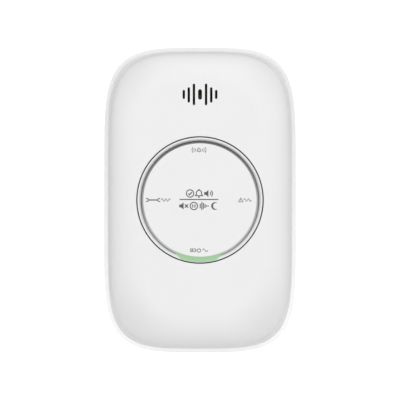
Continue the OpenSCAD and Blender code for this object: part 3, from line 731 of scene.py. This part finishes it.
def rear_cover():
    """Closed tray with rim and lip, then its recess, battery box, bosses, vents and holes."""
    obj = mesh_object("rear_cover_shell", [loft(rear_skin())])
    recess_low = (PLATE_LOW[0] - 0.8, PLATE_LOW[1] - LIFT - 0.4)
    recess_high = (PLATE_HIGH[0] + 0.8, PLATE_HIGH[1] + 0.5)
    root_d, box_x, box_low, box_high = BACK_D + 0.4, BOX_X + BOX_WALL, BOX_LOW - BOX_WALL, BOX_HIGH + BOX_WALL
    combine(obj, [slab((recess_low[0] - 2, recess_low[1] - 2, root_d),
                       (recess_high[0] + 2, recess_high[1] + 2, RECESS_FLOOR_D), 1.5, 0.2),
                  slab((-box_x, box_low, root_d), (box_x, box_high, BOX_IN_D + BOX_WALL), 1, 0.2)], "UNION")
    bosses = [bore(place, 3.6, root_d, PART_D - 0.5) for place in CASE_SCREWS]
    bosses += [bore(place, 2.6, BACK_D + 1, BOARD_D) for place in BOARD_SCREWS]
    bosses.append(slab((-10, box_low - 1.4, root_d), (10, box_low + 0.3, 9), 0.5, 0.2))
    combine(obj, bosses, "UNION")
    combine(obj, [bore(place, 2.4, PART_D - 1, LIP_D) for place in CASE_SCREWS], "UNION")

    cuts = [pocket((*recess_low, BACK_D), (*recess_high, RECESS_D), 4.5),
            pocket((-BOX_X, BOX_LOW, BACK_D), (BOX_X, BOX_HIGH, BOX_IN_D), 0.6, 0.2)]
    cuts += [lathe([(3.4, BACK_D - 1), (3.0, BACK_D), (2.7, BACK_D + 0.3), (2.7, SCREW_SEAT_D)], place, 48)
             for place in CASE_SCREWS]
    for low, high in ((-HALF_H - 2, -HALF_H + 4), (HALF_H - 4, HALF_H + 2)):
        for k in range(-4, 5):
            cuts.append(slab((VENT_PITCH * k - VENT_W / 2, low, VENT_D[0]),
                             (VENT_PITCH * k + VENT_W / 2, high, VENT_D[1]), 0.2, 0.5))
    combine(obj, cuts, "DIFFERENCE")

    # Windows that the hook heads pass through, then the slots that their necks slide up
    through = RECESS_FLOOR_D + 1.4
    combine(obj, [slab((x - 4.6, y - LIFT - 3.1, RECESS_D - 1), (x + 4.6, y - LIFT + 3.1, through), 0.6, 0.1)
                  for x, y in HOOKS], "DIFFERENCE")
    holes = [slab((x - 2.4, y - LIFT, RECESS_D - 1), (x + 2.4, y + 2.65, through), 0.5, 0.1) for x, y in HOOKS]
    holes += [bore(place, 1.6, SCREW_SEAT_D - 1, LIP_D + 1) for place in CASE_SCREWS]
    holes += [bore(place, 1.25, 11, BOARD_D + 0.8) for place in BOARD_SCREWS]
    pin_hole = along_x(bore((0, 0), HINGE_PIN_R + 0.05, -box_x - 0.2, box_x + 0.2))
    holes.append(moved(pin_hole, (0, HINGE_Y, HINGE_D)))
    holes.append(pocket((-5.5, BOX_LOW - 0.9, BACK_D), (5.5, BOX_LOW + 1, 6), 0.4, 0.25))
    combine(obj, holes, "DIFFERENCE")
    settle(obj, rear_cover_plastic, "housing", "white_plastic", "rear_cover")


def wall_plate():
    """Plate with countersunk screw holes, an engraved arrow and four T-hooks."""
    low, high = (*PLATE_LOW[:2], 0), (*PLATE_HIGH[:2], PLATE_T)
    middle, neck_end, sunk = (low[1] + high[1]) / 2, 4.9, 0.5
    obj = mesh_object("wall_plate_body", [slab(low, high, 4, 0.25)])
    combine(obj, [slab((x - 2, y - 2.5, PLATE_T - sunk), (x + 2, y + 2.5, neck_end + 0.3), 0.3, 0.05)
                  for x, y in HOOKS], "UNION")
    combine(obj, [slab((x - 4, y - 2.5, neck_end), (x + 4, y + 2.5, PLATE_HIGH[2]), 0.5, 0.3)
                  for x, y in HOOKS], "UNION")
    cuts = [lathe([(2.6, -1), (2.5, 0), (2.25, 0.25), (2.25, 1), (4.2, PLATE_T), (4.3, 3)], (x, middle), 64)
            for x in (-PLATE_SCREW_X, PLATE_SCREW_X)]
    arrow = np.array([(0, 6), (-4, 1), (-1.2, 1), (-1.2, -6), (1.2, -6), (1.2, 1), (4, 1)]) + (0, middle)
    cuts.append(loft([at_depth(arrow, PLATE_T - sunk), at_depth(arrow, 3)]))
    combine(obj, cuts, "DIFFERENCE")
    settle(obj, plate_plastic, "wall_mount", "plate_plastic", "wall_plate")


def battery_door():
    """Door leaf with hinge barrel and pins along its top, a sprung latch below and grip grooves."""
    x, low, leaf_top, inside = DOOR_PIN_X - 1.45, DOOR_LOW_Y, HINGE_Y - 1.6, BACK_D + DOOR_T
    obj = mesh_object("battery_door_leaf", [slab((-x, low, BACK_D), (x, leaf_top, inside), 0.6, 0.25)])
    barrel = along_x(lathe([(HINGE_PIN_R, -DOOR_PIN_X), (HINGE_PIN_R, -x), (HINGE_BARREL_R, -x + 0.01),
                            (HINGE_BARREL_R, x - 0.01), (HINGE_PIN_R, x), (HINGE_PIN_R, DOOR_PIN_X)], count=32))
    combine(obj, [slab((-x, leaf_top - 1, HINGE_D - HINGE_BARREL_R), (x, HINGE_Y, inside), 0.2, 0.1)], "UNION")
    combine(obj, [moved(barrel, (0, HINGE_Y, HINGE_D)),
                  slab((-5, low, BACK_D + 1), (5, low + 1.1, 5.4), 0.2, 0.2)], "UNION")
    combine(obj, [slab((-5, low - 0.8, 4.2), (5, low + 1, 5.2), 0.2, 0.3)], "UNION")
    combine(obj, [slab((-9, low + 3 + 1.6 * k, BACK_D - 1), (9, low + 3.8 + 1.6 * k, BACK_D + 0.5), 0.38, 0.2)
                  for k in range(5)], "DIFFERENCE")
    settle(obj, case_plastic, "door", "white_plastic", "battery_door")


def light_ring():
    """Ring with a flange under the collar and an inner slope, and a light pipe down to each light."""
    crest, base, shelf = FACE_D - 0.2, COLLAR_D - FLANGE_T, COLLAR_D - FLANGE_T + 1.5
    slope_top, slope_turn = RING_INNER_R + 0.85, 52
    profile = [(RING_INNER_R - 0.3, base), (FLANGE_R - 0.1, base), (FLANGE_R, base + 0.1),
               (FLANGE_R, COLLAR_D - 0.1), (FLANGE_R - 0.1, COLLAR_D), (RING_R + 0.01, COLLAR_D),
               (RING_R, COLLAR_D + 0.01)]
    profile += [(RING_R - 0.1 * (1 - math.cos(t)), crest - 0.1 * (1 - math.sin(t))) for t in quarter(5)]
    profile += [(slope_top - 0.3 * math.sin(t), crest - 0.3 * (1 - math.cos(t)))
                for t in [math.radians(slope_turn * k / 5) for k in range(6)]]
    profile += [(RING_INNER_R + 0.06, crest - 0.8), (RING_INNER_R, crest - 0.95), (RING_INNER_R, shelf),
                (RING_INNER_R - 0.3, shelf)]
    pipe = lathe([(1.0, LED_TOP_D + 0.3), (1.2, LED_TOP_D + 0.5), (1.2, base + 0.4)], (LIGHT_R, 0), 32)
    parts = [lathe(profile, count=AROUND, wrap=True)] + [rolled(pipe, turn) for turn in (0, 90, 180, 270)]
    settle(mesh_object("light_ring_body", parts), ring_plastic, "housing", "clear_plastic", "light_ring")


def button_clip(middle, spread=14, steps=7):
    """Sprung arm with a nose that catches under the ring, at an angle round the button."""
    arm_in, arm_out, root = BUTTON_R - SKIRT_T + 0.1, BUTTON_R - 0.1, SKIRT_D + 0.6
    section = np.array([(arm_in, root), (arm_in, CLIP_D), (arm_out, CLIP_D), (CLIP_NOSE_R, CLIP_D + 0.6),
                        (CLIP_NOSE_R, CLIP_D + 0.9), (arm_out, CLIP_D + 0.9), (arm_out, root)])
    turns = [math.radians(middle + spread * (k / steps - 0.5)) for k in range(steps + 1)]
    return loft([np.column_stack([section[:, 0] * math.cos(a), section[:, 0] * math.sin(a), section[:, 1]])
                 for a in turns])


def test_button():
    """Cap, skirt, four clips, three spring posts and the rod down to the switch."""
    under, hollow_r, rod_end = FACE_D - CAP_T, BUTTON_R - SKIRT_T, BUTTON_LOW[2]
    profile = [(0.05, under), (hollow_r - 0.3, under), (hollow_r, under - 0.3), (hollow_r, SKIRT_D),
               (BUTTON_R, SKIRT_D), (BUTTON_R + 0.1, SKIRT_D + 0.1)]
    bevel = [(-0.1, 1.4), (-0.04, 1.15), (0.62, 0.17), (0.7, 0.07), (0.76, 0.02), (0.82, 0), (6, 0)]
    profile += [(BUTTON_R - inset, CAP_D - drop) for inset, drop in bevel] + [(0.05, CAP_D)]
    parts = [lathe(profile, count=AROUND)] + [button_clip(middle) for middle in (45, 135, 225, 315)]
    parts.append(lathe([(2.2, rod_end), (2.5, rod_end + 0.3), (2.5, under + 0.5)], count=48))
    post = lathe([(1.3, under - 3), (1.6, under - 2.7), (1.6, under + 0.5)], (14, 0), 32)
    parts += [rolled(post, turn) for turn in (90, 210, 330)]
    settle(mesh_object("test_button_cap", parts), button_cap, "button", "button_plastic", "test_button")


def screen_wire_part(place, half, pitch, wire_r, first):
    """One wire of the screen along X, which passes over and under the wires that cross it."""
    section = np.radians([0, 72, 144, 216, 288])
    middle_d = (SCREEN_LOW[2] + SCREEN_HIGH[2]) / 2
    rings = []
    for i in range(-int(half / pitch), int(half / pitch) + 1):
        over = wire_r * 0.6 * (1 if (i + first) % 2 else -1)
        rings.append(np.column_stack([np.full(5, i * pitch), place + wire_r * np.cos(section),
                                      middle_d + over + wire_r * np.sin(section)]))
    return loft(rings) if len(rings) > 1 else None


def sounder_screen():
    """Woven screen behind the slots, in a flat rim."""
    pitch, wire_r, rim = 0.45, 0.14, 0.3
    reach = (SCREEN_HIGH[0] - SCREEN_LOW[0]) / 2 - rim
    count = int(reach / pitch)
    parts = []
    for turn in (0, 90):
        for k in range(-count, count + 1):
            half = math.sqrt(reach ** 2 - (k * pitch) ** 2)
            wire = screen_wire_part(k * pitch, half, pitch, wire_r, k + turn // 90)
            if wire:
                parts.append(moved(rolled(wire, turn), (0, SLOT_Y, 0)))
    parts.append(tube(reach + rim, reach - rim, SCREEN_LOW[2], SCREEN_HIGH[2], (0, SLOT_Y), 72))
    settle(mesh_object("sounder_screen", parts), screen_wire, "housing", "dark_mesh", "sounder_mesh")


# ---------------------------------------------------------------- printed pictograms, each about 1 across

def stroke(points, width, closed=False):
    """A printed line of even width through plan points, with mitred corners."""
    low, high = CAP_D - INK_T / 2, FACE_D
    p = np.asarray(points, float)
    ahead = np.roll(p, -1, 0) - p
    behind = p - np.roll(p, 1, 0)
    if not closed:
        ahead[-1], behind[0] = behind[-1], ahead[0]
    normals = []
    for a, b in zip(behind, ahead):
        a, b = a / np.linalg.norm(a), b / np.linalg.norm(b)
        mean = np.array([-a[1] - b[1], a[0] + b[0]])
        mean /= np.linalg.norm(mean)
        normals.append(mean / max(mean @ np.array([-a[1], a[0]]), 0.5))
    side = np.array(normals) * width / 2
    rings = [np.array([(*(q - s), low), (*(q + s), low), (*(q + s), high), (*(q - s), high)])
             for q, s in zip(p, side)]
    return loft(rings, caps=not closed, wrap=closed)


def patch(points):
    """A printed area inside plan points that run anticlockwise."""
    return loft([at_depth(points, CAP_D - INK_T / 2), at_depth(points, FACE_D)])


def arc(x, y, radius, start, end, steps=24):
    """Points along part of a circle, between two angles in degrees."""
    return [(x + radius * math.cos(math.radians(start + (end - start) * k / steps)),
             y + radius * math.sin(math.radians(start + (end - start) * k / steps))) for k in range(steps + 1)]


def dot(x, y, radius):
    """A printed dot."""
    return patch(circle(radius, (x, y), 24))


def ring_mark():
    """A printed circle round another mark."""
    return stroke(arc(0, 0, 0.43, 0, 345, 23), 0.12, closed=True)


def tick_icon():
    """A tick in a circle: test."""
    return [ring_mark(), stroke([(-0.2, 0.0), (-0.05, -0.16), (0.22, 0.17)], 0.13)]


def pause_icon():
    """Two bars in a circle: pause."""
    return [ring_mark()] + [stroke([(x, -0.19), (x, 0.19)], 0.12) for x in (-0.13, 0.13)]


def bell_icon(width=0.12):
    """A bell: alarm."""
    body = [(-0.42, -0.26), (0.42, -0.26), (0.3, -0.08)] + arc(0, 0.08, 0.3, 0, 180, 14) + [(-0.3, -0.08)]
    return [stroke(body, width, closed=True), dot(0, -0.42, 0.1), dot(0, 0.47, 0.07)]


def ringing_bell_icon():
    """A bell with sound on both sides."""
    waves = [stroke(arc(0, 0, r, middle - 24, middle + 24, 10), 0.13)
             for middle in (180, 0) for r in (0.75, 1.15, 1.55)]
    return bell_icon(0.14) + waves


def speaker_cone():
    """A loudspeaker's outline."""
    return patch([(-0.5, -0.17), (-0.28, -0.17), (0, -0.42), (0, 0.42), (-0.28, 0.17), (-0.5, 0.17)])


def speaker_icon():
    """A loudspeaker that sounds."""
    return [speaker_cone()] + [stroke(arc(0.02, 0, r, -48, 48, 12), 0.11) for r in (0.24, 0.46)]


def muted_icon():
    """A loudspeaker with a cross beside it."""
    return [speaker_cone()] + [stroke([(0.14, -y), (0.54, y)], 0.12) for y in (0.2, -0.2)]


def fading_bars():
    """A sound that dies away to a flat line."""
    return [stroke([(0.19 * k - 0.48, -h / 2), (0.19 * k - 0.48, h / 2)], 0.12)
            for k, h in enumerate([0.55, 0.95, 0.7, 0.42, 0.22, 0.12])]


def moon_icon():
    """A crescent: quiet."""
    return [patch(arc(0.02, 0, 0.45, 50, 310, 24) + arc(0.16, 0, 0.36, 285, 75, 20))]


def battery_icon():
    """A battery, half full."""
    case = [(-0.6, -0.3), (0.5, -0.3), (0.5, 0.3), (-0.6, 0.3)]
    return [stroke(case, 0.14, closed=True), stroke([(0.57, 0), (0.72, 0)], 0.26), stroke([(-0.35, 0), (0, 0)], 0.3)]


def power_icon():
    """A broken circle with a bar in its gap: power."""
    return [stroke(arc(0, -0.04, 0.4, 120, 420), 0.15), stroke([(0, 0.52), (0, 0.06)], 0.15)]


def warning_icon():
    """A triangle with an exclamation mark: trouble."""
    return [stroke([(-0.52, -0.42), (0.52, -0.42), (0, 0.46)], 0.13, closed=True),
            stroke([(0, 0.12), (0, -0.12)], 0.12), dot(0, -0.25, 0.07)]


def spanner_icon(length=3.6):
    """A spanner with two open ends: service."""
    end = length / 2 - 0.42
    return [stroke([(-end + 0.3, 0), (end - 0.3, 0)], 0.26),
            stroke(arc(end, 0, 0.34, 50, 310), 0.2), stroke(arc(-end, 0, 0.34, 230, 490), 0.2)]


def wave_icon(width, turns, steps=30):
    """A line that swings up and down."""
    return [stroke([(width * (k / steps - 0.5), 0.3 * math.sin(2 * math.pi * turns * k / steps))
                    for k in range(steps + 1)], 0.13)]


def button_marks():
    """Generic pictograms in place of words: test above the line, silence below, one group per light."""
    big, small, middle = 3.35, 1.75, -0.4
    line_y, line_half = 0.2, 7.6
    test_y, silence_y, top_y, bottom_y = 2.55, -2.35, 19.6, -19.7
    places = [
        (tick_icon(), middle - 3.5, test_y, big), (bell_icon(), middle, test_y, big),
        (speaker_icon(), middle + 3.7, test_y, big),
        (muted_icon(), middle - 6.05, silence_y, big), (pause_icon(), middle - 2.0, silence_y, big),
        (fading_bars(), middle + 2.1, silence_y, big), (moon_icon(), middle + 6.2, silence_y, big),
        (ringing_bell_icon(), middle, top_y, small),
        (battery_icon(), middle - 2.3, bottom_y, small), (power_icon(), middle, bottom_y, small),
        (wave_icon(1.2, 1), middle + 2.4, bottom_y, small),
        (spanner_icon(), -18.4, 0, small), (wave_icon(2.0, 2.5), -13.4, 0, small),
        (warning_icon(), 16.0, 0, small), (wave_icon(1.7, 2), 18.6, 0, small)]
    marks = [stroke([(middle - line_half, line_y), (middle + line_half, line_y)], 0.4)]
    for icon, x, y, size in places:
        marks += [(points * (size, size, 1) + (x, y, 0), faces) for points, faces in icon]
    settle(mesh_object("button_pictograms", marks), ink, "button", "button_plastic")


for make in (front_cover, front_cover_bosses, rear_cover, wall_plate, battery_door, light_ring, test_button,
             sounder_screen, button_marks):
    make()

for entry in frame["record"]["subparts"]:
    node = frame["nodes"][entry["node"]]
    material = SLOT_MATERIALS.get(entry["material_slot"])
    if material:
        node.data.materials.clear()
        node.data.materials.append(material)


# ---------------------------------------------------------------- stage, light and camera

def floor():
    """Pale floor well below the object, which hangs on a wall that isn't drawn."""
    side, front, back, drop = 2.0, -2.5, 0.9, cad_low.z - 0.045
    mesh = bpy.data.meshes.new("floor")
    mesh.from_pydata([(-side, front, drop), (side, front, drop), (side, back, drop), (-side, back, drop)], [],
                     [(0, 1, 2, 3)])
    obj = bpy.data.objects.new("floor", mesh)
    bpy.context.scene.collection.objects.link(obj)
    mesh.materials.append(moulded_plastic("floor_paper", (0.97, 0.97, 0.97, 1), roughness=0.8, grain_mm=1.5))


def sky():
    """White studio: brighter in front and above, softer at the sides; plain white behind the object."""
    world = bpy.data.worlds.new("studio")
    bpy.context.scene.world = world
    world.use_nodes = True
    tree = world.node_tree
    background = tree.nodes["Background"]
    background.inputs["Color"].default_value = (1, 1, 1, 1)
    coords = tree.nodes.new("ShaderNodeTexCoord")
    facing = tree.nodes.new("ShaderNodeVectorMath")
    facing.operation = "DOT_PRODUCT"
    facing.inputs[1].default_value = SKY_AIM
    tree.links.new(coords.outputs["Generated"], facing.inputs[0])
    ramp = tree.nodes.new("ShaderNodeMapRange")
    ramp.clamp = False
    for key, value in zip(("From Min", "From Max", "To Min", "To Max"), (-1, 1, SKY_BACK, SKY_FRONT)):
        ramp.inputs[key].default_value = value
    tree.links.new(facing.outputs["Value"], ramp.inputs["Value"])
    path = tree.nodes.new("ShaderNodeLightPath")
    strength = tree.nodes.new("ShaderNodeMix")
    strength.inputs["B"].default_value = SKY_SEEN
    tree.links.new(path.outputs["Is Camera Ray"], strength.inputs["Factor"])
    tree.links.new(ramp.outputs["Result"], strength.inputs["A"])
    tree.links.new(strength.outputs["Result"], background.inputs["Strength"])


def soft_box(name, where, size, power):
    """Square area light that looks at the middle of the object."""
    data = bpy.data.lights.new(name, "AREA")
    data.energy, data.size = power, size
    obj = bpy.data.objects.new(name, data)
    obj.location = where
    aim = (cad_low + cad_high) / 2 - obj.location
    obj.rotation_euler = aim.to_track_quat("-Z", "Y").to_euler()
    bpy.context.scene.collection.objects.link(obj)


floor()
sky()
soft_box("key", (0.2, -1.1, -0.05), 0.7, 0.3)

# Camera straight on, far away, so that the front shows as a plan view
camera_data = bpy.data.cameras.new("camera")
camera_data.lens = LENS
camera_data.clip_end = 20
distance = VIEW_W * LENS / camera_data.sensor_width
camera = bpy.data.objects.new("camera", camera_data)
camera.location = (0, -distance - PART_D * MM, 0)
camera.rotation_euler = (math.radians(90), 0, 0)
bpy.context.scene.collection.objects.link(camera)
bpy.context.scene.camera = camera
bpy.context.scene.view_settings.view_transform = "Standard"
